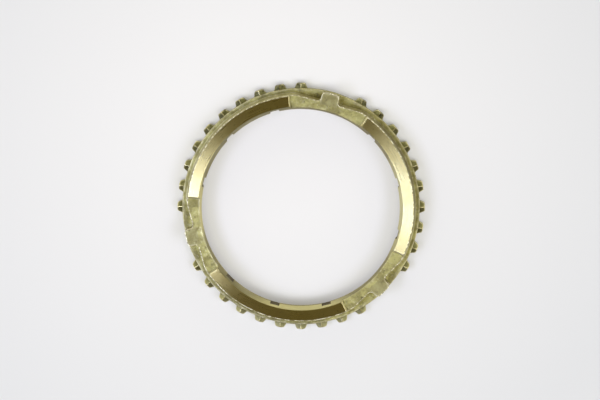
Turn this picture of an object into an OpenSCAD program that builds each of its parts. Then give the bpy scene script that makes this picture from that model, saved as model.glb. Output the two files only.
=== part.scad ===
// Synchronizer ring of a car gearbox, forged and turned from brass in one piece.
// Millimetres. The ring lies on its gear-side face: the origin is the centre of that face,
// +Z runs along the axis towards the synchronizer hub, and +X passes through a tooth.

/* [Ring] */
// Diameter over the tips of the blocker teeth
tip_diameter = 74; // [66:0.5:84]
// Height from the gear-side face to the turned hub-side face
ring_height = 9; // [8:0.25:11]
// Height of the toothed flange
flange_height = 3.8; // [3.2:0.1:4.4]
// Ledge on the flange between the tooth roots and the foot of the rim
ledge_width = 1.5; // [0.9:0.1:1.8]
// How far the rim's outer wall leans in between its foot and its top
rim_draft = 0.35; // [0.1:0.05:0.8]
// Radial width of the rim at its top
rim_width = 3.3; // [2.8:0.05:4.2]

/* [Friction cone] */
// Half angle of the friction cone, which opens towards the gear
cone_angle = 6.5; // [6:0.1:8]
// Depth of the steep turned chamfer between the face and the cone
chamfer_depth = 2.6; // [1.4:0.1:3.2]
// Radial run of that chamfer
chamfer_run = 0.9; // [0.5:0.05:1.3]
// Chamfer around the mouth of the cone
mouth_chamfer = 0.5; // [0.2:0.1:0.8]
// Oil grooves in each third of the cone
grooves_per_third = 3; // [1:1:4]
// Width of an oil groove
groove_width = 2.7; // [1.6:0.1:3.4]
// Depth of an oil groove below the cone
groove_depth = 0.5; // [0.4:0.1:1.2]

/* [Blocker teeth] */
// Tooth places in each third of the ring, with two of them left empty for the lug
places_per_third = 12; // [10:1:13]
// Radial height of a tooth
tooth_depth = 1.5; // [1.2:0.1:2]
// Width of a tooth at its root
tooth_root_width = 3.8; // [3:0.1:4]
// Width of a tooth at its tip
tooth_tip_width = 2.6; // [1.8:0.1:2.8]
// Radius on the corners of a tooth's tip
tooth_corner = 0.65; // [0.1:0.05:0.75]
// Height of a tooth's pointed ridge above the gear-side face
ridge_height = 3.6; // [3:0.1:4.2]
// Angle between the two blocking chamfers that meet in the ridge
roof_angle = 110; // [95:1:125]

/* [Index lugs] */
// Width of a lug
lug_width = 5.3; // [4:0.1:6.4]
// How far the end of a lug stays inside the tooth roots
lug_setback = 0.2; // [0.05:0.05:0.6]
// Radius on the outer corners of a lug
lug_corner = 1.2; // [0.5:0.1:1.8]
// Fillet where a lug meets the flats beside it
lug_fillet = 1; // [0.4:0.1:1.6]
// Depth of the flats beside a lug, below the foot of the rim
flat_depth = 1.7; // [0.8:0.1:2.2]
// Half angle of the forged pad that carries a lug
pad_half_angle = 20.4; // [18:0.1:24]
// Drop from the turned face to a pad
pad_drop = 1.1; // [0.3:0.05:1.4]
// Run of the sloping step at each end of a pad
step_run = 0.3; // [0.1:0.05:1]

/* [Edges] */
// Radius on the outer edges of the rim and the flange
edge_radius = 0.25; // [0.1:0.05:0.3]
// Fillet at the foot of the rim
foot_fillet = 0.4; // [0.2:0.05:0.45]

/* [Hidden] */
$fn = 180;
thirds = 3;
arc_steps = 4;
overlap = 0.6;

// Radii, worked inwards from the tooth tips
tip_radius = tip_diameter / 2;
root_radius = tip_radius - tooth_depth;
rim_foot_radius = root_radius - ledge_width;
rim_top_radius = rim_foot_radius - rim_draft;
face_inner_radius = rim_top_radius - rim_width;
cone_small_radius = face_inner_radius - chamfer_run;
cone_top = ring_height - chamfer_depth;
cone_growth = tan(cone_angle);
cone_large_radius = cone_small_radius + cone_top * cone_growth;
wall_lean = atan(rim_draft / (ring_height - flange_height));

// Places around the ring
third_angle = 360 / thirds;
tooth_pitch = third_angle / places_per_third;
empty_places = 2;
teeth_per_third = places_per_third - empty_places;
first_lug_angle = 7.5 * tooth_pitch;
lug_to_first_tooth = (empty_places + 1) / 2 * tooth_pitch;
groove_step = third_angle / (grooves_per_third + 1);

// Pads, flats and lugs
pad_height = ring_height - pad_drop;
flat_distance = rim_foot_radius - flat_depth;
flat_half_length = sqrt(pow(rim_foot_radius, 2) - pow(flat_distance, 2)) + overlap;
lug_end = root_radius - lug_setback;

// Points along an arc, from one angle to another
function arc(centre_r, centre_z, radius, from, to) =
    [for (i = [0:arc_steps])
        let (a = from + (to - from) * i / arc_steps)
        [centre_r + radius * cos(a), centre_z + radius * sin(a)]];

// Centre of the arc that rounds the rim's top edge, and of the fillet at the rim's foot
top_arc_z = ring_height - edge_radius;
top_arc_r = rim_foot_radius
    - (edge_radius + (top_arc_z - flange_height) * sin(wall_lean)) / cos(wall_lean);
foot_arc_r = rim_foot_radius + foot_fillet * (1 - sin(wall_lean)) / cos(wall_lean);

// Turned section: flange, leaning rim, flat face, steep chamfer and friction cone
module turned_body() {
    rotate_extrude()
        polygon(concat(
            [[cone_large_radius + mouth_chamfer, 0], [root_radius, 0]],
            arc(root_radius - edge_radius, flange_height - edge_radius, edge_radius, 0, 90),
            arc(foot_arc_r, flange_height + foot_fillet, foot_fillet, 270, 180 + wall_lean),
            arc(top_arc_r, top_arc_z, edge_radius, wall_lean, 90),
            [[face_inner_radius, ring_height],
             [cone_small_radius, cone_top],
             [cone_large_radius - mouth_chamfer * cone_growth, mouth_chamfer]]));
}

// Everything above a forged pad: a sector whose ends slope up to the turned face
module pad_space() {
    reach = 2 * tip_radius;
    side = reach * tan(pad_half_angle);
    translate([0, 0, pad_height])
        linear_extrude(pad_drop + overlap)
            polygon([[0, 0], [reach, -side], [reach, side]]);
    for (end = [0, 1])
        mirror([0, end, 0])
            rotate([0, 0, pad_half_angle])
                rotate([90, 0, 90])
                    linear_extrude(reach)
                        polygon([[-overlap, pad_height],
                                 [0, pad_height],
                                 [step_run, ring_height],
                                 [step_run, ring_height + overlap],
                                 [-overlap, ring_height + overlap]]);
}

// Space above the flange that is cut away to leave the flats beside a lug
module flat_space() {
    translate([flat_distance, -flat_half_length, flange_height])
        cube([2 * flat_depth, 2 * flat_half_length, ring_height]);
}

// Plan of a lug with rounded outer corners and a fillet at each side of its root
module lug_plan() {
    inner = flat_distance - overlap;
    half = lug_width / 2;
    translate([inner, -half])
        square([lug_end - lug_corner - inner, lug_width]);
    translate([inner, lug_corner - half])
        square([lug_end - inner, lug_width - 2 * lug_corner]);
    for (side = [-1, 1]) {
        translate([lug_end - lug_corner, side * (half - lug_corner)])
            circle(lug_corner);
        mirror([0, side < 0 ? 1 : 0])
            difference() {
                translate([inner, half - overlap])
                    square([lug_fillet + overlap, lug_fillet + overlap]);
                translate([flat_distance + lug_fillet, half + lug_fillet])
                    circle(lug_fillet);
            }
    }
}

module lug() {
    translate([0, 0, flange_height - overlap])
        linear_extrude(pad_height - flange_height + overlap)
            lug_plan();
}

// Plan of a tooth: straight flanks that draw in to a tip with rounded corners
module tooth_plan() {
    tip_half = tooth_tip_width / 2;
    flank_lean = atan((tooth_root_width - tooth_tip_width) / 2 / tooth_depth);
    base_half = tooth_root_width / 2 + overlap * tan(flank_lean);
    corner_x = tip_radius - tooth_corner;
    corner_y = tip_half - tooth_corner * (1 - sin(flank_lean)) / cos(flank_lean);
    polygon(concat(
        [[root_radius - overlap, -base_half]],
        arc(corner_x, -corner_y, tooth_corner, flank_lean - 90, 0),
        arc(corner_x, corner_y, tooth_corner, 0, 90 - flank_lean),
        [[root_radius - overlap, base_half]]));
}

// A tooth is its plan cut to a roof by the two blocking chamfers
module tooth() {
    roof_half = tooth_root_width;
    roof_fall = roof_half / tan(roof_angle / 2);
    intersection() {
        linear_extrude(ridge_height)
            tooth_plan();
        rotate([90, 0, 90])
            linear_extrude(tip_diameter)
                polygon([[-roof_half, -roof_fall],
                         [roof_half, -roof_fall],
                         [roof_half, ridge_height - roof_fall],
                         [0, ridge_height],
                         [-roof_half, ridge_height - roof_fall]]);
    }
}

// An oil groove runs the length of the cone at an even depth and out through the chamfer
module oil_groove() {
    bed = cone_small_radius + groove_depth;
    translate([bed, 0, cone_top])
        rotate([0, -cone_angle, 0])
            translate([-bed, -groove_width / 2, -2 * ring_height])
                cube([bed, groove_width, 4 * ring_height]);
}

module synchronizer_ring() {
    color([0.72, 0.68, 0.42])
        difference() {
            union() {
                difference() {
                    turned_body();
                    for (third = [0:thirds - 1])
                        rotate([0, 0, first_lug_angle + third * third_angle]) {
                            pad_space();
                            flat_space();
                        }
                }
                for (third = [0:thirds - 1])
                    rotate([0, 0, first_lug_angle + third * third_angle]) {
                        lug();
                        for (i = [0:teeth_per_third - 1])
                            rotate([0, 0, lug_to_first_tooth + i * tooth_pitch])
                                tooth();
                    }
            }
            for (third = [0:thirds - 1], i = [1:grooves_per_third])
                rotate([0, 0, first_lug_angle + third * third_angle + i * groove_step])
                    oil_groove();
        }
}

synchronizer_ring();
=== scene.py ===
"""Looks of the synchronizer ring: a detailed brass mesh, its materials, the light and the camera.

The mesh is lofted in polar form. Rows of points run around the ring, and each row follows the
section one step further: out along the gear-side face, up the teeth, in over the ledge, up the rim,
in over the hub-side face, and down the chamfer and the threaded cone. Sizes are in millimetres
until the mesh is made.
"""

import math

import bmesh
import bpy
import numpy as np
from mathutils import Matrix, Vector


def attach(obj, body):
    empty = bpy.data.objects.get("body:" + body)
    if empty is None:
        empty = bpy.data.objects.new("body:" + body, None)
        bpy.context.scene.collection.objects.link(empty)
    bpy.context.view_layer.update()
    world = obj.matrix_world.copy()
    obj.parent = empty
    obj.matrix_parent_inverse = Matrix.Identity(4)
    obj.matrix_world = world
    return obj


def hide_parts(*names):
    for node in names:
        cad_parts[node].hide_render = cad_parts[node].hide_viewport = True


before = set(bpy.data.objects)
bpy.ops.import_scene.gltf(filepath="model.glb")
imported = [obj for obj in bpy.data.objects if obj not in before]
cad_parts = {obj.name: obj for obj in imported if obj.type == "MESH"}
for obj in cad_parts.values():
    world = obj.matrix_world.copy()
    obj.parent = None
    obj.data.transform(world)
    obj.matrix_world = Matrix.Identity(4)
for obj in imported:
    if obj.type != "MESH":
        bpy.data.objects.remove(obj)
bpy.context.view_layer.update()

# Sizes of the ring, the same as in the part's source
MM = 0.001
TIP = 37.0
ROOT = 35.5
HEIGHT = 9.0
FLANGE = 3.8
RIM_FOOT = 34.0
RIM_DRAFT = 0.35
FACE_INNER = 30.35
CONE_TOP = 6.4
CONE_SMALL = 29.45
CONE_GROWTH = math.tan(math.radians(6.5))
CHAMFER_SLOPE = (FACE_INNER - CONE_SMALL) / (HEIGHT - CONE_TOP)
MOUTH = 0.5
GROOVE_HALF = 1.35
GROOVE_DEPTH = 0.5
PITCH = math.radians(10)
TOOTH_ROOT_HALF = 1.9
TOOTH_TIP_HALF = 1.3
TOOTH_LEAN = (TOOTH_ROOT_HALF - TOOTH_TIP_HALF) / (TIP - ROOT)
TOOTH_CORNER = 0.65
RIDGE = 3.6
ROOF_FALL = 1 / math.tan(math.radians(55))
LUG_END = 35.3
LUG_HALF = 2.65
LUG_CORNER = 1.2
LUG_FILLET = 1.0
FLAT = 32.3
PAD_HALF = math.radians(20.4)
PAD_HEIGHT = 7.9
STEP_RUN = 0.3
LUG_ANGLES = [75, 195, 315]
GROOVE_PLACES = [-30, 30, 60, -60]

# Sizes that only the visual mesh has: rounded edges, the worn ridge of the teeth, thread and grooves
EDGE = 0.22
FLANGE_EDGE = 0.25
GEAR_EDGE = 0.12
FOOT_FILLET = 0.4
TOOTH_EDGE = 0.2
LAND = 0.13
RIDGE_WEAR = 0.06
INNER_BREAK = 0.08
THREAD_PITCH = 0.7
THREAD_DEPTH = 0.22
THREAD_START = 0.3
GROOVE_GROWTH = math.tan(math.radians(2))

# Angles from the middle of a lug or groove, and radii, that tell the surfaces apart
GROOVE_REACH = math.radians(2.7)
LUG_REACH = math.radians(4.6)
FLATS_REACH = math.radians(17.2)
STEP_RADIUS = 31
WALL_MIDDLE = 33.0
GEAR_FACE_INNER_ROWS = (31.5, 32.4)
GEAR_FACE_OUTER_ROWS = (33.0, 34.3)

# Forged unevenness: its depth, and a share, a seed and a wavelength for each layer of waves
FORGED_DEPTH = 0.045
FORGED_WAVES = [(0.55, 11, 5.0), (0.35, 12, 2.2), (0.2, 13, 1.1)]

# Bend of the surface, in turns of one radian per millimetre, that counts as fully worn, or as fully darkened
# by painted shade in a hollow corner
WORN_BEND = 1.6
CREASE_SHADE_BEND = 1.2

MERGE_DISTANCE = 0.003
SMALLEST_EDGE = 0.001
SHARP_ANGLE = math.radians(42)

# Places of the materials on the ring
TURNED = 0
FORGED = 1
TEETH = 2
CONE = 3
FLAT_WALL = 4
CHAMFER = 5
RIM_WALL = 6
BURR_AND_GLINT = 7
LUG_TOP = 8
GROOVE = 9
LEDGE = 10
STEP = 11


# Small helpers for curves

def smooth_min(a, b, width):
    share = np.clip(0.5 + 0.5 * (b - a) / width, 0, 1)
    return b + (a - b) * share - width * share * (1 - share)


def smooth_max(a, b, width):
    return -smooth_min(-a, -b, width)


def soft_ramp(x, softness=0.15):
    """Rises from 0 to 1 as x goes from 0 to 1, with soft ends."""
    low = np.sqrt(x * x + softness ** 2)
    high = np.sqrt((x - 1) ** 2 + softness ** 2)
    return np.clip(0.5 * (low - high + 1), 0, 1)


def smooth_step(x):
    x = np.clip(x, 0, 1)
    return x * x * (3 - 2 * x)


def circle_from_axis(angle, centre_x, centre_y, radius, far):
    """Distance from the axis to a circle, along rays at the given angles."""
    reach = math.hypot(centre_x, centre_y)
    turn = angle - math.atan2(centre_y, centre_x)
    half_chord = np.sqrt(np.maximum(radius ** 2 - (reach * np.sin(turn)) ** 2, 0))
    return reach * np.cos(turn) + (half_chord if far else -half_chord)


def distance_to_outline(x, y, line_x, line_y):
    """Plan distance from points to a line of short straight segments."""
    start = np.stack([line_x[:-1], line_y[:-1]], axis=1)
    run = np.stack([np.diff(line_x), np.diff(line_y)], axis=1)
    length = np.maximum((run ** 2).sum(axis=1), 1e-12)
    points = np.stack([x, y], axis=1)
    nearest = np.empty(len(points))
    for begin in range(0, len(points), 2000):
        block = points[begin:begin + 2000, None, :] - start[None, :, :]
        along = np.clip((block * run[None]).sum(axis=2) / length, 0, 1)
        gap = block - along[:, :, None] * run[None]
        nearest[begin:begin + 2000] = np.sqrt((gap ** 2).sum(axis=2).min(axis=1))
    return nearest


def edge_drop(distance, radius):
    """How far a rounded edge falls below its face, at a plan distance from the outline."""
    inside = np.clip(radius - distance, 0, radius)
    return radius - np.sqrt(np.maximum(radius ** 2 - inside ** 2, 0))


# Places around one third of the ring, as angles from the middle of its lug

def third_of(half_places):
    """Mirrors places between 0 and 60 degrees, and keeps the end at minus 60 only."""
    half = sorted(set(round(p, 4) for p in half_places))
    places = [-p for p in half if p > 0] + [p for p in half if p < 60]
    return np.radians(np.array(sorted(set(places))))


def tooth_places():
    near_tooth = [0, 0.1, 0.18, 0.24, 0.34, 0.6, 0.95, 1.2, 1.33, 1.5, 1.66, 1.8, 1.93, 2.05, 2.17, 2.29,
                  2.42, 2.55, 2.7, 2.85, 2.97, 3.08, 3.2, 3.4, 3.8, 4.3, 5.0]
    places = [0, 0.8, 1.6, 2.34, 2.7, 3.0, 3.3, 3.6, 3.9, 4.2, 4.43, 4.6, 5, 6, 7, 8, 9, 10]
    for middle in range(15, 60, 10):
        places += [middle + off for off in near_tooth]
        places += [middle - off for off in near_tooth]
    return third_of(places)


def groove_edges():
    """Places close together at both sides of the grooves, as far as they lie in the half third."""
    edges = []
    for off in (2.0, 2.4, 2.5, 2.56, 2.62, 2.68, 2.8):
        edges += [30 - off, 30 + off, 60 - off]
    return edges


def rim_places():
    corner_start = math.degrees(math.atan2(LUG_HALF - LUG_CORNER, LUG_END))
    flank_start = math.degrees(math.atan2(LUG_HALF, LUG_END - LUG_CORNER))
    flank_end = math.degrees(math.atan2(LUG_HALF, FLAT + LUG_FILLET))
    flat_start = math.degrees(math.atan2(LUG_HALF + LUG_FILLET, FLAT))
    places = list(np.linspace(0, corner_start, 5))
    corner_run = flank_start - corner_start
    places += [corner_start + corner_run * math.sin(math.radians(t)) for t in range(10, 91, 8)]
    places += list(np.linspace(flank_start, flank_end, 4))
    fillet_run = flat_start - flank_end
    places += [flank_end + fillet_run * t for t in (0.05, 0.13, 0.24, 0.38, 0.54, 0.7, 0.85, 1.0)]
    places += list(np.arange(7, 15, 0.8)) + list(np.arange(15, 18.6, 0.4))
    places += [19.2, 19.8, 20.2, 20.34, 20.42, 20.5, 20.6, 20.7, 20.8, 20.88, 20.96, 21.06, 21.3]
    places += list(np.arange(22, 60, 0.8))
    return third_of(places + groove_edges() + [60])


def cone_places():
    return third_of(list(np.arange(0, 60, 1.0)) + groove_edges() + [60])


def middles(place):
    """Angles halfway from each place to the next one."""
    return 0.5 * (place + np.append(place[1:], place[0] + math.radians(120)))


# Plan and height of the ring's shapes

def tooth_outline(place):
    """Radius of the toothed edge of the flange."""
    side = np.abs(place)
    off = np.abs(side - (np.floor(side / PITCH) + 0.5) * PITCH)
    lean = math.atan(TOOTH_LEAN)
    corner_x = TIP - TOOTH_CORNER
    corner_y = TOOTH_TIP_HALF - TOOTH_CORNER * (1 - math.sin(lean)) / math.cos(lean)
    end_x = corner_x + TOOTH_CORNER * math.sin(lean)
    end_y = corner_y + TOOTH_CORNER * math.cos(lean)
    tip = TIP / np.cos(off)
    corner = circle_from_axis(off, corner_x, corner_y, TOOTH_CORNER, far=True)
    flank = (TOOTH_ROOT_HALF + TOOTH_LEAN * ROOT) / (np.sin(off) + TOOTH_LEAN * np.cos(off))
    radius = np.where(off < math.atan2(corner_y, TIP), tip, corner)
    radius = np.where(off > math.atan2(end_y, end_x), flank, radius)
    radius = smooth_max(radius, np.full_like(radius, ROOT), 0.25)
    return np.where(side < PITCH, ROOT, np.maximum(radius, ROOT))


def roof_height(place, radius):
    """Height of a tooth's two blocking chamfers, which meet in a softened ridge."""
    side = np.abs(place)
    off = side - (np.floor(side / PITCH) + 0.5) * PITCH
    across = np.minimum(np.abs(radius * np.sin(off)), TOOTH_ROOT_HALF)
    across = np.where(side < PITCH, TOOTH_ROOT_HALF, across)
    past_land = across - LAND
    softness = 0.05
    fall = 0.5 * (past_land + np.sqrt(past_land ** 2 + softness ** 2)) * ROOF_FALL
    return RIDGE - RIDGE_WEAR - fall


def lug_outline(place):
    side = np.abs(place)
    corner_x = LUG_END - LUG_CORNER
    corner_y = LUG_HALF - LUG_CORNER
    fillet_x = FLAT + LUG_FILLET
    fillet_y = LUG_HALF + LUG_FILLET
    corner = circle_from_axis(side, corner_x, corner_y, LUG_CORNER, far=True)
    fillet = circle_from_axis(side, fillet_x, fillet_y, LUG_FILLET, far=False)
    flank = LUG_HALF / np.maximum(np.sin(side), 1e-6)
    radius = np.where(side < math.atan2(corner_y, LUG_END), LUG_END / np.cos(side), corner)
    radius = np.where(side > math.atan2(LUG_HALF, corner_x), flank, radius)
    return np.where(side > math.atan2(LUG_HALF, fillet_x), fillet, radius)


def wall_outline(place, height):
    """Radius of the wall above the flange: the lug, the flats beside it and the leaning rim."""
    rim = RIM_FOOT - RIM_DRAFT * (height - FLANGE) / (HEIGHT - FLANGE)
    flat = FLAT / np.cos(place)
    lug_root = math.atan2(LUG_HALF + LUG_FILLET, FLAT)
    beyond = smooth_min(flat, rim + 0 * flat, 0.14)
    return np.where(np.abs(place) < lug_root, lug_outline(place), beyond)


def face_level(place, radius):
    """Height of the hub side: the forged pads, the sloping steps and the turned face."""
    past_pad = radius * np.sin(np.abs(place) - PAD_HALF)
    return PAD_HEIGHT + (HEIGHT - PAD_HEIGHT) * soft_ramp(past_pad / STEP_RUN)


def cut_grooves(place, radius, height):
    """Widens the bore at the oil grooves, whose beds open less than the cone and run out at its mouth."""
    bed = CONE_SMALL + GROOVE_DEPTH + (CONE_TOP - height) * GROOVE_GROWTH
    result = radius
    for middle in GROOVE_PLACES:
        off = place - math.radians(middle)
        inside = smooth_step((GROOVE_HALF + 0.04 - np.abs(radius * np.sin(off))) / 0.08)
        depth = np.maximum(bed / np.cos(off) - radius, 0)
        result = np.maximum(result, radius + depth * inside)
    return result


def in_groove(place):
    """True for the faces that lie in an oil groove, by the angle of their middle."""
    near = [np.abs(middles(place) - math.radians(middle)) < GROOVE_REACH for middle in GROOVE_PLACES]
    return np.any(near, axis=0)


# Rows of the three bands, as pairs of radius and height

def tooth_rows(place):
    """From the gear-side face, up the teeth and over the edge of the flange."""
    out = tooth_outline(place)
    flat = np.zeros_like(place)
    rows = [(flat + radius, flat) for radius in GEAR_FACE_OUTER_ROWS]
    for turn in (0, 45, 90):
        a = math.radians(turn)
        rows.append((out - GEAR_EDGE * (1 - math.sin(a)), flat + GEAR_EDGE * (1 - math.cos(a))))
    line_x = out * np.cos(place)
    line_y = out * np.sin(place)
    wall_top = roof_height(place, out) - TOOTH_EDGE
    for share in (0.3, 0.65, 1.0):
        rows.append((out, GEAR_EDGE + (wall_top - GEAR_EDGE) * share))
    for share in (0.02, 0.05, 0.09, 0.14, 0.25, 0.45, 0.7, 1.0):
        radius = out - share * (out - ROOT)
        near = distance_to_outline(radius * np.cos(place), radius * np.sin(place), line_x, line_y)
        height = roof_height(place, radius) - edge_drop(near, TOOTH_EDGE)
        rows.append((radius, height))
    foot = rows[-1][1]
    shoulder = np.maximum(FLANGE - FLANGE_EDGE, foot)
    for share in (0.4, 0.8):
        rows.append((flat + ROOT, foot + (shoulder - foot) * share))
    lug = np.where(np.abs(place) < LUG_REACH, wall_outline(place, FLANGE), 0)
    for turn in (0, 25, 50, 70, 90):
        a = math.radians(turn)
        radius = np.maximum(ROOT - FLANGE_EDGE * (1 - math.cos(a)), lug)
        height = np.maximum(FLANGE - FLANGE_EDGE * (1 - math.sin(a)), shoulder)
        rows.append((radius, height - np.where(lug > ROOT - FLANGE_EDGE, 0.06, 0)))
    kinds = [np.full(len(place), TEETH) for _ in rows[:-1]]
    for number in (0, 1):
        kinds[number][:] = TURNED
    for number in range(len(kinds) - 5, len(kinds)):
        kinds[number][:] = LEDGE
    side = np.abs(middles(place))
    on_land = np.abs(side - (np.floor(side / PITCH) + 0.5) * PITCH) < LAND / ROOT
    for number in range(9, 15):
        kinds[number][on_land & (side > PITCH)] = TURNED
    return rows, kinds


def rim_rows(place):
    """From the ledge, up the wall of the rim and the lugs, in over the face and down the chamfer."""
    rows = []
    kinds = []
    side = np.abs(middles(place))
    pad = side < PAD_HALF
    step = ~pad & (side < PAD_HALF + STEP_RUN / STEP_RADIUS)
    on_lug = side < LUG_HALF / FLAT

    def row(radius, height, kind):
        rows.append((radius, height))
        kinds.append(kind)

    foot = wall_outline(place, FLANGE)
    ledge = np.maximum(ROOT - FLANGE_EDGE - 0.1, foot)
    fillet = FOOT_FILLET * np.clip((ROOT - FLANGE_EDGE - foot) / 0.5, 0, 1)
    ledge_kind = np.full(len(place), LEDGE)
    wall_kind = np.where(side < FLATS_REACH, FLAT_WALL, RIM_WALL)
    for share in (0.0, 0.5):
        row(ledge + (foot + fillet - ledge) * share, np.full_like(place, FLANGE), ledge_kind)
    for turn in (0, 30, 60, 90):
        a = math.radians(turn)
        height = FLANGE + fillet * (1 - math.cos(a))
        row(wall_outline(place, height) + fillet * (1 - math.sin(a)), height, wall_kind)

    top_radius = wall_outline(place, face_level(place, WALL_MIDDLE))
    level = face_level(place, top_radius)
    wall_foot = FLANGE + fillet
    for share in (0.12, 0.3, 0.5, 0.7, 0.88, 1.0):
        height = wall_foot + (level - EDGE - wall_foot) * share
        row(wall_outline(place, height), height, wall_kind)

    line_radius = rows[-1][0]
    line_x = line_radius * np.cos(place)
    line_y = line_radius * np.sin(place)
    inner = FACE_INNER - CHAMFER_SLOPE * (HEIGHT - face_level(place, FACE_INNER))
    face_kind = np.where(pad, FORGED, np.where(step, STEP, TURNED))
    outer_kind = np.where(on_lug, LUG_TOP, face_kind)

    def face_row(radius, kind):
        near = distance_to_outline(radius * np.cos(place), radius * np.sin(place), line_x, line_y)
        row(radius, face_level(place, radius) - edge_drop(near, EDGE), kind)

    burr_and_glint = np.full(len(place), BURR_AND_GLINT)
    for inset in (0.015, 0.05, 0.1, 0.16):
        face_row(line_radius - inset, burr_and_glint)
    for inset in (0.26, 0.4):
        face_row(line_radius - inset, outer_kind)
    start = line_radius - 0.4
    for share in (0.12, 0.25, 0.4, 0.55, 0.7, 0.85, 1.0):
        face_row(start + (inner + INNER_BREAK - start) * share, outer_kind if share < 0.6 else face_kind)

    # The break at the inner edge of the face, then the steep chamfer down to the cone
    chamfer = np.full(len(place), CHAMFER)
    level = face_level(place, inner)
    slant = math.hypot(CHAMFER_SLOPE, 1)
    for t in (0.33, 0.67, 1.0):
        radius = inner + INNER_BREAK * ((1 - t) ** 2 - t * t * CHAMFER_SLOPE / slant)
        row(radius, level - INNER_BREAK * t * t / slant, chamfer)
    start = rows[-1][1]
    groove_end = CONE_TOP + GROOVE_DEPTH / (CHAMFER_SLOPE + GROOVE_GROWTH)
    grooved = np.where(in_groove(place), GROOVE, CHAMFER)

    def chamfer_row(height, kind):
        radius = CONE_SMALL + CHAMFER_SLOPE * (height - CONE_TOP)
        row(cut_grooves(place, radius, height), height, kind)

    run = np.minimum(groove_end, start) - start
    for share, kind in ((0.4, chamfer), (0.8, chamfer), (1.0, grooved)):
        chamfer_row(start + run * share, kind)
    start = rows[-1][1]
    for share in (0.1, 0.3, 0.6, 1.0):
        chamfer_row(start + (CONE_TOP - start) * share, grooved)
    return rows, kinds[:-1]


def cone_rows(place):
    """Down the threaded cone, round its mouth and out onto the gear-side face."""
    rows = []
    flat = np.zeros_like(place)
    turns = int((CONE_TOP - MOUTH - THREAD_START) / THREAD_PITCH)
    profile = [(0.0, 0.0), (0.3, 0.0), (0.42, 0.35), (0.55, 0.85), (0.65, 1.0), (0.75, 0.85), (0.88, 0.35)]
    steps = [(CONE_TOP - 0.12, 0.0)]
    for turn in range(turns):
        for along, depth in profile:
            steps.append((CONE_TOP - THREAD_START - (turn + along) * THREAD_PITCH, depth * THREAD_DEPTH))
    steps.append((MOUTH, 0.0))
    for height, depth in steps:
        radius = CONE_SMALL + (CONE_TOP - height) * CONE_GROWTH + depth + flat
        rows.append((cut_grooves(place, radius, height), flat + height))
    mouth = CONE_SMALL + CONE_TOP * CONE_GROWTH + MOUTH
    for share in (0.35, 0.7, 0.95):
        radius = rows[-1][0] * 0 + mouth - MOUTH * (1 - share) * (1 + CONE_GROWTH)
        height = MOUTH * (1 - share)
        rows.append((cut_grooves(place, radius, height), flat + height))
    rows.append((cut_grooves(place, flat + mouth + 0.04, 0.0), flat))
    rows += [(flat + radius, flat) for radius in GEAR_FACE_INNER_ROWS]
    cone = np.where(in_groove(place), GROOVE, CONE)
    turned = np.full(len(place), TURNED)
    return rows, [cone] * (len(rows) - 3) + [turned] * 2


# The mesh

class Loft:
    """Gathers rows of points around the ring and the faces between them."""

    def __init__(self):
        self.points = []
        self.faces = []
        self.kinds = []
        self.count = 0

    def band(self, place, rows, kinds):
        """Adds a band of rows. Returns the angles and the numbers of its first and last row."""
        angles = np.concatenate([place + math.radians(a) for a in LUG_ANGLES])
        numbers = []
        for radius, height in rows:
            radius = np.tile(radius, 3)
            height = np.tile(height, 3)
            self.points.append(np.stack([radius * np.cos(angles), radius * np.sin(angles), height], axis=1))
            numbers.append(np.arange(self.count, self.count + len(angles)))
            self.count += len(angles)
        for low, high, kind in zip(numbers[:-1], numbers[1:], kinds):
            quads = np.stack([low, np.roll(low, -1), np.roll(high, -1), high], axis=1)
            self.faces += quads.tolist()
            self.kinds += np.tile(kind, 3).tolist()
        return angles, numbers[0], numbers[-1]

    def join(self, angles_a, row_a, angles_b, row_b, kind):
        """Fills the strip between two rows whose points stand at different angles."""
        count_a = len(row_a)
        count_b = len(row_b)
        full_a = np.append(angles_a, angles_a[0] + 2 * math.pi)
        full_b = np.append(angles_b, angles_b[0] + 2 * math.pi)
        i = 0
        j = 0
        while i < count_a or j < count_b:
            here_a = int(row_a[i % count_a])
            here_b = int(row_b[j % count_b])
            step_a = j == count_b or (i < count_a and full_a[i + 1] <= full_b[j + 1])
            if step_a:
                i += 1
                self.faces.append([here_a, int(row_a[i % count_a]), here_b])
            else:
                j += 1
                self.faces.append([here_a, int(row_b[j % count_b]), here_b])
            self.kinds.append(kind)


def waves(points, seed, wavelength, count=24):
    """Smooth seeded unevenness between about minus 1 and 1."""
    random = np.random.default_rng(seed)
    total = np.zeros(len(points))
    for _ in range(count):
        direction = random.normal(size=3)
        direction /= np.linalg.norm(direction)
        rate = 2 * math.pi / (wavelength * random.uniform(0.7, 1.5))
        total += np.sin(points @ direction * rate + random.uniform(0, 2 * math.pi))
    return total / math.sqrt(count)


def lofted_ring():
    loft = Loft()
    places = tooth_places()
    teeth = loft.band(places, *tooth_rows(places))
    places = rim_places()
    rim = loft.band(places, *rim_rows(places))
    places = cone_places()
    cone = loft.band(places, *cone_rows(places))
    loft.join(teeth[0], teeth[2], rim[0], rim[1], LEDGE)
    loft.join(rim[0], rim[2], cone[0], cone[1], CONE)
    loft.join(cone[0], cone[2], teeth[0], teeth[1], TURNED)

    mesh = bpy.data.meshes.new("synchronizer_ring_looks")
    mesh.from_pydata(np.concatenate(loft.points).tolist(), [], loft.faces)
    mesh.polygons.foreach_set("material_index", np.array(loft.kinds, dtype=np.int32))
    work = bmesh.new()
    work.from_mesh(mesh)
    bmesh.ops.remove_doubles(work, verts=work.verts, dist=MERGE_DISTANCE)
    bmesh.ops.dissolve_degenerate(work, edges=work.edges, dist=SMALLEST_EDGE)
    work.to_mesh(mesh)
    work.free()
    return mesh


def forged_share(mesh):
    """For each point 1 where all faces around it are forged, less on teeth, the torn edge and steps, else 0.
    """
    weight = {TEETH: 0.5, BURR_AND_GLINT: 0.6, STEP: 0.5}
    weight.update({kind: 1.0 for kind in (FORGED, FLAT_WALL, RIM_WALL, LUG_TOP, LEDGE)})
    share = np.ones(len(mesh.vertices))
    for face in mesh.polygons:
        for corner in face.vertices:
            share[corner] = min(share[corner], weight.get(face.material_index, 0.0))
    return share


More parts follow.
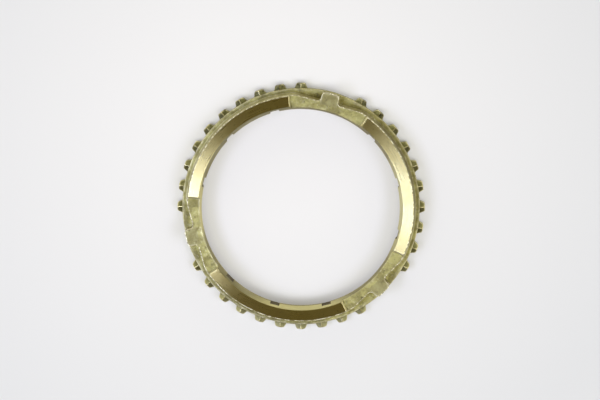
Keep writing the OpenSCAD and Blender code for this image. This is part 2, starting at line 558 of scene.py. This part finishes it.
def roughen(mesh):
    """Makes the forged surfaces slightly uneven. Points only move into the metal."""
    count = len(mesh.vertices)
    points = np.empty(count * 3)
    normals = np.empty(count * 3)
    mesh.vertices.foreach_get("co", points)
    mesh.vertex_normals.foreach_get("vector", normals)
    points = points.reshape(-1, 3)
    normals = normals.reshape(-1, 3)
    uneven = sum(share * waves(points, seed, wavelength) for share, seed, wavelength in FORGED_WAVES)
    depth = FORGED_DEPTH * np.clip(1.0 - uneven, 0, 2.2) * forged_share(mesh)
    points = points - normals * depth[:, None]
    points[:, 2] = np.clip(points[:, 2], 0, HEIGHT)
    mesh.vertices.foreach_set("co", (points * MM).ravel())
    mesh.update()


def mark_edges(mesh):
    """Stores how sharply the surface bends out (worn edges) or in (hollow corners, which the materials darken
    as painted shade) at each point.
    """
    work = bmesh.new()
    work.from_mesh(mesh)
    count = len(work.verts)
    bend = np.zeros(count)
    area = np.zeros(count)
    pairs = []
    for edge in work.edges:
        a, b = edge.verts
        pairs.append((a.index, b.index))
        if len(edge.link_faces) == 2:
            amount = edge.calc_face_angle_signed(0.0) * edge.calc_length()
            bend[a.index] += amount
            bend[b.index] += amount
    for face in work.faces:
        part = face.calc_area() / len(face.verts)
        for corner in face.verts:
            area[corner.index] += part
    work.free()
    curve = bend / np.maximum(4 * area, 1e-12) * MM
    pairs = np.array(pairs)
    for _ in range(2):
        total = curve.copy()
        number = np.ones(count)
        for this, other in ((0, 1), (1, 0)):
            np.add.at(total, pairs[:, this], curve[pairs[:, other]])
            np.add.at(number, pairs[:, this], 1)
        curve = total / number
    for name, value in (("worn", curve / WORN_BEND), ("crease_shade", -curve / CREASE_SHADE_BEND)):
        layer = mesh.attributes.new(name, "FLOAT", "POINT")
        layer.data.foreach_set("value", np.clip(value, 0, 1).astype(np.float32))


def make_ring(materials):
    mesh = lofted_ring()
    roughen(mesh)
    mark_edges(mesh)
    for material in materials:
        mesh.materials.append(material)
    mesh.shade_smooth()
    mesh.set_sharp_from_angle(angle=SHARP_ANGLE)
    ring = bpy.data.objects.new("synchronizer_ring_looks", mesh)
    bpy.context.collection.objects.link(ring)
    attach(ring, "root")
    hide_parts("synchronizer_ring")
    return ring


# Materials

class Nodes:
    """Short ways to add and link shader nodes."""

    def __init__(self, name="", material=None):
        self.material = material or bpy.data.materials.new(name)
        self.material.use_nodes = True
        self.tree = self.material.node_tree
        self.shader = self.tree.nodes["Principled BSDF"]
        self.place = self.add("ShaderNodeTexCoord").outputs["Object"]

    def add(self, kind, **settings):
        node = self.tree.nodes.new(kind)
        for name, value in settings.items():
            setattr(node, name, value)
        return node

    def link(self, source, target):
        self.tree.links.new(source, target)

    def feed(self, socket, value):
        """Links a socket, or sets it where the value is a plain number or colour."""
        if isinstance(value, bpy.types.NodeSocket):
            self.link(value, socket)
        else:
            socket.default_value = value

    def maths(self, operation, a, b=0.0):
        node = self.add("ShaderNodeMath", operation=operation)
        self.feed(node.inputs[0], a)
        self.feed(node.inputs[1], b)
        return node.outputs[0]

    def noise(self, vector, scale, detail=3.0, roughness=0.55):
        node = self.add("ShaderNodeTexNoise")
        self.link(vector, node.inputs["Vector"])
        node.inputs["Scale"].default_value = scale
        node.inputs["Detail"].default_value = detail
        node.inputs["Roughness"].default_value = roughness
        return node.outputs["Fac"]

    def spread(self, value, low, high, to_low=0.0, to_high=1.0):
        """Maps a range of values onto another, without going past its ends."""
        node = self.add("ShaderNodeMapRange")
        self.link(value, node.inputs["Value"])
        node.inputs["From Min"].default_value = low
        node.inputs["From Max"].default_value = high
        node.inputs["To Min"].default_value = to_low
        node.inputs["To Max"].default_value = to_high
        return node.outputs["Result"]

    def mix(self, share, first, second):
        node = self.add("ShaderNodeMix", data_type="RGBA")
        self.feed(node.inputs["Factor"], share)
        self.feed(node.inputs["A"], first)
        self.feed(node.inputs["B"], second)
        return node.outputs["Result"]

    def attribute(self, name):
        return self.add("ShaderNodeAttribute", attribute_name=name).outputs["Fac"]

    def parts(self):
        node = self.add("ShaderNodeSeparateXYZ")
        self.link(self.place, node.inputs[0])
        return node

    def from_axis(self, parts):
        across = self.maths("MULTIPLY", parts.outputs["X"], parts.outputs["X"])
        along = self.maths("MULTIPLY", parts.outputs["Y"], parts.outputs["Y"])
        return self.maths("SQRT", self.maths("ADD", across, along))

    def rings(self):
        """A place that only changes with the distance from the axis and slowly around it."""
        parts = self.parts()
        joined = self.add("ShaderNodeCombineXYZ")
        self.link(self.from_axis(parts), joined.inputs["X"])
        self.link(self.maths("MULTIPLY", parts.outputs["X"], 0.012), joined.inputs["Y"])
        self.link(self.maths("MULTIPLY", parts.outputs["Y"], 0.012), joined.inputs["Z"])
        return joined.outputs[0]

    def bump(self, height, distance, strength=1.0, below=None):
        node = self.add("ShaderNodeBump")
        node.inputs["Distance"].default_value = distance
        node.inputs["Strength"].default_value = strength
        self.link(height, node.inputs["Height"])
        if below is not None:
            self.link(below, node.inputs["Normal"])
        return node.outputs["Normal"]


def colour(red, green, blue):
    return (red, green, blue, 1.0)


def turned_brass(name, bright, dull, roughness, stretch):
    """Bright brass with the fine rings that the lathe leaves."""
    nodes = Nodes(name)
    shader = nodes.shader
    shader.inputs["Metallic"].default_value = 1.0
    shader.inputs["Anisotropic"].default_value = stretch
    shader.inputs["Anisotropic Rotation"].default_value = 0.25
    tangent = nodes.add("ShaderNodeTangent", direction_type="RADIAL", axis="Z")
    nodes.link(tangent.outputs[0], shader.inputs["Tangent"])
    rings = nodes.noise(nodes.rings(), 9000, 2.0)
    patches = nodes.noise(nodes.place, 160, 4.0)
    base = nodes.mix(nodes.spread(patches, 0.35, 0.7), bright, dull)
    base = nodes.mix(nodes.spread(rings, 0.45, 0.75, 0.0, 0.45), base, dull)
    specks = nodes.noise(nodes.place, 1500, 2.0)
    base = nodes.mix(nodes.spread(specks, 0.68, 0.76, 0.0, 0.6), base, colour(0.16, 0.13, 0.04))
    # Hollow corners darkened: painted shade.
    base = nodes.mix(nodes.maths("MULTIPLY", nodes.attribute("crease_shade"), 0.3), base, colour(0.10, 0.08, 0.03))
    nodes.link(base, shader.inputs["Base Color"])
    rough = nodes.spread(rings, 0.3, 0.7, roughness - 0.05, roughness + 0.06)
    rough = nodes.maths("ADD", rough, nodes.spread(patches, 0.3, 0.7, -0.04, 0.05))
    nodes.link(rough, shader.inputs["Roughness"])
    nodes.link(nodes.bump(rings, 0.000006), shader.inputs["Normal"])
    return nodes.material


def forged_brass(name, light, middle, dark, roughness, grain, metallic,
                 speckle=0.0, dark_patch=0.0, spot=None, wear=1.0):
    """Dull brass as it left the forging die: blotchy, grainy, worn along its edges."""
    nodes = Nodes(name)
    shader = nodes.shader
    shader.inputs["Metallic"].default_value = metallic
    blotches = nodes.noise(nodes.place, 360, 5.0, 0.6)
    stains = nodes.noise(nodes.place, 620, 4.0, 0.65)
    fine = nodes.noise(nodes.place, 3800, 3.0)
    base = nodes.mix(nodes.spread(blotches, 0.40, 0.60), middle, light)
    base = nodes.mix(nodes.spread(stains, 0.56, 0.72, 0.0, 0.8), base, dark)
    # Hollow corners darkened: painted shade.
    base = nodes.mix(nodes.maths("MULTIPLY", nodes.attribute("crease_shade"), 0.25), base, colour(0.07, 0.06, 0.025))
    # Darker around a given spot.
    if dark_patch:
        away = nodes.add("ShaderNodeVectorMath", operation="DISTANCE")
        nodes.link(nodes.place, away.inputs[0])
        away.inputs[1].default_value = spot
        base = nodes.mix(nodes.spread(away.outputs["Value"], 0.008, 0.026, dark_patch, 0.0), base, dark)
    specks = nodes.noise(nodes.place, 1700, 2.0)
    base = nodes.mix(nodes.spread(specks, 0.56, 0.70, 0.0, speckle), base, colour(0.90, 0.84, 0.52))
    patchy = nodes.spread(stains, 0.3, 0.6, 0.95 * wear, 0.35 * wear)
    worn = nodes.maths("MULTIPLY", nodes.attribute("worn"), patchy)
    base = nodes.mix(worn, base, colour(0.90, 0.83, 0.47))
    nodes.link(base, shader.inputs["Base Color"])
    rough = nodes.spread(blotches, 0.3, 0.7, roughness + 0.08, roughness - 0.07)
    rough = nodes.maths("ADD", rough, nodes.spread(fine, 0.3, 0.7, -0.05, 0.05))
    nodes.link(rough, shader.inputs["Roughness"])
    lumps = nodes.bump(stains, 0.00012 * grain)
    nodes.link(nodes.bump(fine, 0.00003 * grain, below=lumps), shader.inputs["Normal"])
    return nodes.material


def tooth_brass():
    """Coined brass. Its tips get painted shade on the far side of the ring and painted light on the near
    side.
    """
    far_side_painted_shade = colour(0.05, 0.047, 0.02)
    near_side_painted_light = colour(0.58, 0.55, 0.29)
    material = forged_brass(
        "coined_brass", light=colour(0.36, 0.35, 0.16), middle=colour(0.25, 0.24, 0.10),
        dark=colour(0.08, 0.075, 0.03), roughness=0.40, grain=0.6, metallic=1.0, wear=1.4)
    nodes = Nodes(material=material)
    parts = nodes.parts()
    tip = nodes.spread(nodes.from_axis(parts), 0.0352, 0.0364, 0.35, 1.0)
    patches = nodes.noise(nodes.place, 900, 3.0)
    base = nodes.shader.inputs["Base Color"].links[0].from_socket
    # Tips on the far side darkened: painted shade.
    far = nodes.maths("MULTIPLY", tip, nodes.spread(parts.outputs["Y"], 0.010, 0.030))
    base = nodes.mix(nodes.maths("MULTIPLY", far, nodes.spread(patches, 0.40, 0.60, 0.1, 0.8)), base, far_side_painted_shade)
    # Tips on the near side lightened: painted light.
    near = nodes.maths("MULTIPLY", tip, nodes.spread(parts.outputs["Y"], -0.018, -0.032))
    base = nodes.mix(nodes.maths("MULTIPLY", near, nodes.spread(patches, 0.40, 0.60, 0.8, 0.3)), base, near_side_painted_light)
    nodes.link(base, nodes.shader.inputs["Base Color"])
    return material


def chamfer_brass():
    """The steep chamfer: turned brass under a dull film, lighter on the near, right and left side as painted
    light.
    """
    lit_sides_painted_light = colour(0.68, 0.62, 0.28)
    material = turned_brass(
        "chamfer_brass", bright=colour(0.36, 0.325, 0.16), dull=colour(0.28, 0.245, 0.11),
        roughness=0.42, stretch=0.8)
    nodes = Nodes(material=material)
    parts = nodes.parts()
    film = nodes.shader.inputs["Base Color"].links[0].from_socket
    # Lighter towards the near, right and left side: painted light.
    near = nodes.spread(parts.outputs["Y"], -0.0255, -0.0290)
    right = nodes.spread(parts.outputs["X"], 0.0255, 0.0290, 0.0, 0.7)
    left = nodes.spread(parts.outputs["X"], -0.0283, -0.0294, 0.0, 0.9)
    worn = nodes.maths("MAXIMUM", nodes.maths("MAXIMUM", near, right), left)
    nodes.link(nodes.mix(worn, film, lit_sides_painted_light), nodes.shader.inputs["Base Color"])
    return material


def burr_and_glint_brass():
    """The torn edge around the face, where the forging skin meets the turning. Its pale colour is partly the
    bright torn metal and partly a painted highlight.
    """
    nodes = Nodes("burr_and_glint_brass")
    shader = nodes.shader
    shader.inputs["Metallic"].default_value = 0.6
    nicks = nodes.noise(nodes.place, 1400, 3.0, 0.6)
    fine = nodes.noise(nodes.place, 3000, 3.0)
    # Pale colour: partly bright torn metal, partly a painted highlight.
    base = nodes.mix(nodes.spread(nicks, 0.43, 0.53), colour(0.97, 0.92, 0.60), colour(0.30, 0.26, 0.11))
    nodes.link(base, shader.inputs["Base Color"])
    nodes.link(nodes.spread(fine, 0.3, 0.7, 0.46, 0.58), shader.inputs["Roughness"])
    nodes.link(nodes.bump(nicks, 0.00012), shader.inputs["Normal"])
    return nodes.material


def ring_materials():
    """The ring's materials, in the order of the places that the numbers at the top name."""
    turned = turned_brass(
        "turned_brass", bright=colour(0.74, 0.66, 0.27), dull=colour(0.59, 0.50, 0.175),
        roughness=0.31, stretch=0.98)
    forged = forged_brass(
        "forged_brass", light=colour(0.45, 0.41, 0.12), middle=colour(0.26, 0.227, 0.06),
        dark=colour(0.11, 0.09, 0.025), roughness=0.5, grain=1.0, metallic=0.8, speckle=0.15, wear=0.3)
    cone = turned_brass(
        "threaded_brass", bright=colour(0.44, 0.38, 0.165), dull=colour(0.34, 0.285, 0.115),
        roughness=0.36, stretch=0.3)
    flats = forged_brass(
        "forged_flats", light=colour(0.54, 0.49, 0.25), middle=colour(0.44, 0.39, 0.17),
        dark=colour(0.20, 0.17, 0.07), roughness=0.48, grain=0.9, metallic=0.6)
    # The walls are darker around a spot on the far right side.
    walls = forged_brass(
        "forged_walls", light=colour(0.56, 0.52, 0.25), middle=colour(0.42, 0.38, 0.16),
        dark=colour(0.16, 0.13, 0.05), roughness=0.5, grain=0.9, metallic=0.5, speckle=0.4,
        dark_patch=0.75, spot=(0.029, 0.017, 0.006))
    lug_tops = forged_brass(
        "struck_lugs", light=colour(0.37, 0.335, 0.115), middle=colour(0.26, 0.225, 0.07),
        dark=colour(0.14, 0.11, 0.035), roughness=0.5, grain=0.8, metallic=0.8)
    # The groove beds are nearly black: painted shade in the recesses.
    grooves = forged_brass(
        "groove_beds_painted_shade", light=colour(0.12, 0.092, 0.032), middle=colour(0.085, 0.064, 0.022),
        dark=colour(0.04, 0.03, 0.01), roughness=0.88, grain=0.4, metallic=0.0, wear=0.2)
    # The ledge is darker around a spot on the near left side: painted shade.
    ledge = forged_brass(
        "forged_ledge", light=colour(0.39, 0.352, 0.092), middle=colour(0.235, 0.205, 0.05),
        dark=colour(0.095, 0.078, 0.022), roughness=0.5, grain=1.0, metallic=0.8, speckle=0.15,
        dark_patch=0.65, spot=(-0.016, -0.031, 0.004), wear=0.7)
    # The sloping steps at the pad ends are pale: a painted highlight.
    steps = forged_brass(
        "steps_painted_highlight", light=colour(0.86, 0.80, 0.50), middle=colour(0.72, 0.66, 0.36),
        dark=colour(0.45, 0.40, 0.18), roughness=0.45, grain=0.4, metallic=0.6)
    return [turned, forged, tooth_brass(), cone, flats, chamfer_brass(), walls, burr_and_glint_brass(), lug_tops,
            grooves, ledge, steps]


# Floor, light and camera

def make_floor():
    """A pale table, darker away from the ring as a painted falloff of light. Part of its white is its own."""
    nodes = Nodes("pale_table")
    away = nodes.add("ShaderNodeVectorMath", operation="DISTANCE")
    nodes.link(nodes.place, away.inputs[0])
    away.inputs[1].default_value = (-0.01, 0.025, 0.0)
    # Darker away from the ring: painted falloff of light.
    edge = nodes.spread(away.outputs["Value"], 0.03, 0.12)
    grain = nodes.noise(nodes.place, 14, 4.0)
    base = nodes.mix(edge, colour(0.695, 0.685, 0.605), colour(0.55, 0.555, 0.50))
    base = nodes.mix(nodes.spread(grain, 0.3, 0.7, 0.0, 0.03), base, colour(0.6, 0.6, 0.6))
    nodes.link(base, nodes.shader.inputs["Base Color"])
    nodes.link(nodes.spread(grain, 0.3, 0.7, 0.66, 0.72), nodes.shader.inputs["Roughness"])
    nodes.shader.inputs["Specular IOR Level"].default_value = 0.2
    path = nodes.add("ShaderNodeLightPath")
    seen = nodes.maths("MAXIMUM", path.outputs["Is Camera Ray"], path.outputs["Is Glossy Ray"])
    seen = nodes.maths("MAXIMUM", seen, path.outputs["Is Transmission Ray"])
    own_white = nodes.add("ShaderNodeEmission")
    own_white.inputs["Color"].default_value = colour(0.98, 0.98, 0.97)
    own_white.inputs["Strength"].default_value = 1.0
    both = nodes.add("ShaderNodeMixShader")
    nodes.link(nodes.maths("MULTIPLY", seen, 0.25), both.inputs["Fac"])
    nodes.link(nodes.shader.outputs[0], both.inputs[1])
    nodes.link(own_white.outputs[0], both.inputs[2])
    nodes.link(both.outputs[0], nodes.tree.nodes["Material Output"].inputs["Surface"])
    half = 4.0
    corners = [(-half, -half, 0), (half, -half, 0), (half, half, 0), (-half, half, 0)]
    mesh = bpy.data.meshes.new("table")
    mesh.from_pydata(corners, [], [(0, 1, 2, 3)])
    mesh.materials.append(nodes.material)
    floor = bpy.data.objects.new("table", mesh)
    bpy.context.collection.objects.link(floor)


def soft_box(name, azimuth, elevation, distance, width, height, radiance, tint, mirrored=True, spread=True):
    """A large soft lamp that faces the ring. Its width runs level and its height upwards.

    A lamp that isn't mirrored only lights, and one that isn't spread only shows in gloss.
    """
    a = math.radians(azimuth)
    e = math.radians(elevation)
    spot = Vector((math.cos(a) * math.cos(e), math.sin(a) * math.cos(e), math.sin(e))) * distance
    lamp = bpy.data.lights.new(name, "AREA")
    lamp.shape = "RECTANGLE"
    lamp.size = width
    lamp.size_y = height
    lamp.energy = radiance * math.pi * width * height
    lamp.color = tint
    lamp_object = bpy.data.objects.new(name, lamp)
    lamp_object.location = spot
    lamp_object.rotation_euler = spot.to_track_quat("Z", "Y").to_euler()
    lamp_object.visible_glossy = mirrored
    lamp_object.visible_diffuse = spread
    bpy.context.collection.objects.link(lamp_object)


def make_world():
    """A studio with a dark ceiling, a low glow, weaker on the near side, and panels left and right."""
    ceiling = colour(0.10, 0.074, 0.021)
    bright = colour(1.0, 0.97, 0.78)
    world = bpy.data.worlds.new("studio")
    world.use_nodes = True
    tree = world.node_tree
    place = tree.nodes.new("ShaderNodeTexCoord")
    parts = tree.nodes.new("ShaderNodeSeparateXYZ")
    tree.links.new(place.outputs["Generated"], parts.inputs[0])

    def maths(operation, a, b):
        node = tree.nodes.new("ShaderNodeMath")
        node.operation = operation
        tree.links.new(a, node.inputs[0])
        if isinstance(b, bpy.types.NodeSocket):
            tree.links.new(b, node.inputs[1])
        else:
            node.inputs[1].default_value = b
        return node.outputs[0]

    def fade(value, start, end, low=0.0):
        node = tree.nodes.new("ShaderNodeMapRange")
        node.interpolation_type = "SMOOTHSTEP"
        node.inputs["From Min"].default_value = start
        node.inputs["From Max"].default_value = end
        node.inputs["To Min"].default_value = low
        tree.links.new(value, node.inputs["Value"])
        return node.outputs["Result"]

    sideways = maths("ABSOLUTE", parts.outputs["X"], 0.0)
    panels = maths("MULTIPLY", fade(sideways, 0.25, 0.45), fade(sideways, 0.95, 0.75))
    panels = maths("MULTIPLY", panels, fade(parts.outputs["Y"], 0.25, 0.0))
    panels = maths("MULTIPLY", panels, fade(parts.outputs["Y"], -0.60, -0.35))
    glow = fade(parts.outputs["Z"], 0.75, 0.45)
    glow = maths("MULTIPLY", glow, fade(parts.outputs["Y"], -0.5, 0.5, 0.12))
    panels = maths("MAXIMUM", panels, glow)
    blend = tree.nodes.new("ShaderNodeMix")
    blend.data_type = "RGBA"
    blend.inputs["A"].default_value = ceiling
    blend.inputs["B"].default_value = bright
    tree.links.new(panels, blend.inputs["Factor"])
    tree.links.new(blend.outputs["Result"], tree.nodes["Background"].inputs["Color"])
    bpy.context.scene.world = world


def make_light():
    make_world()
    cool = (0.96, 1.0, 1.55)
    neutral = (1.0, 1.0, 0.95)
    blue = (0.5, 0.8, 2.6)
    soft_box("left_box", azimuth=197, elevation=58, distance=0.9, width=0.50, height=0.28,
             radiance=6.8, tint=cool)
    soft_box("right_box", azimuth=340, elevation=58, distance=0.9, width=0.48, height=0.28,
             radiance=5.3, tint=cool)
    soft_box("left_core", azimuth=194, elevation=58, distance=0.88, width=0.28, height=0.28,
             radiance=4.2, tint=blue, spread=False)
    soft_box("near_fill", azimuth=270, elevation=76, distance=1.0, width=0.5, height=0.3,
             radiance=8.5, tint=neutral, mirrored=False)


def make_camera():
    """Almost straight above the ring, leaning to the far side, with +Y up in the picture."""
    target = Vector((-0.00031, 0.00192, 0.002))
    distance = 0.5985
    lean_right = math.radians(1.7)
    lean_far = math.radians(6.1)
    lean_whole = math.radians(6.4)
    backward = Vector((math.sin(lean_right), math.sin(lean_far), math.cos(lean_whole))).normalized()
    spot = target + backward * distance
    right = Vector((0, 1, 0)).cross(backward).normalized()
    up = backward.cross(right)
    camera = bpy.data.cameras.new("photo_camera")
    camera.sensor_width = 36
    camera.lens = 120
    camera.clip_start = 0.01
    camera_object = bpy.data.objects.new("photo_camera", camera)
    turn = Matrix((right, up, backward)).transposed().to_4x4()
    camera_object.matrix_world = Matrix.Translation(spot) @ turn
    bpy.context.collection.objects.link(camera_object)
    bpy.context.scene.camera = camera_object


make_ring(ring_materials())
make_floor()
make_light()
make_camera()
bpy.context.scene.view_settings.view_transform = "Standard"
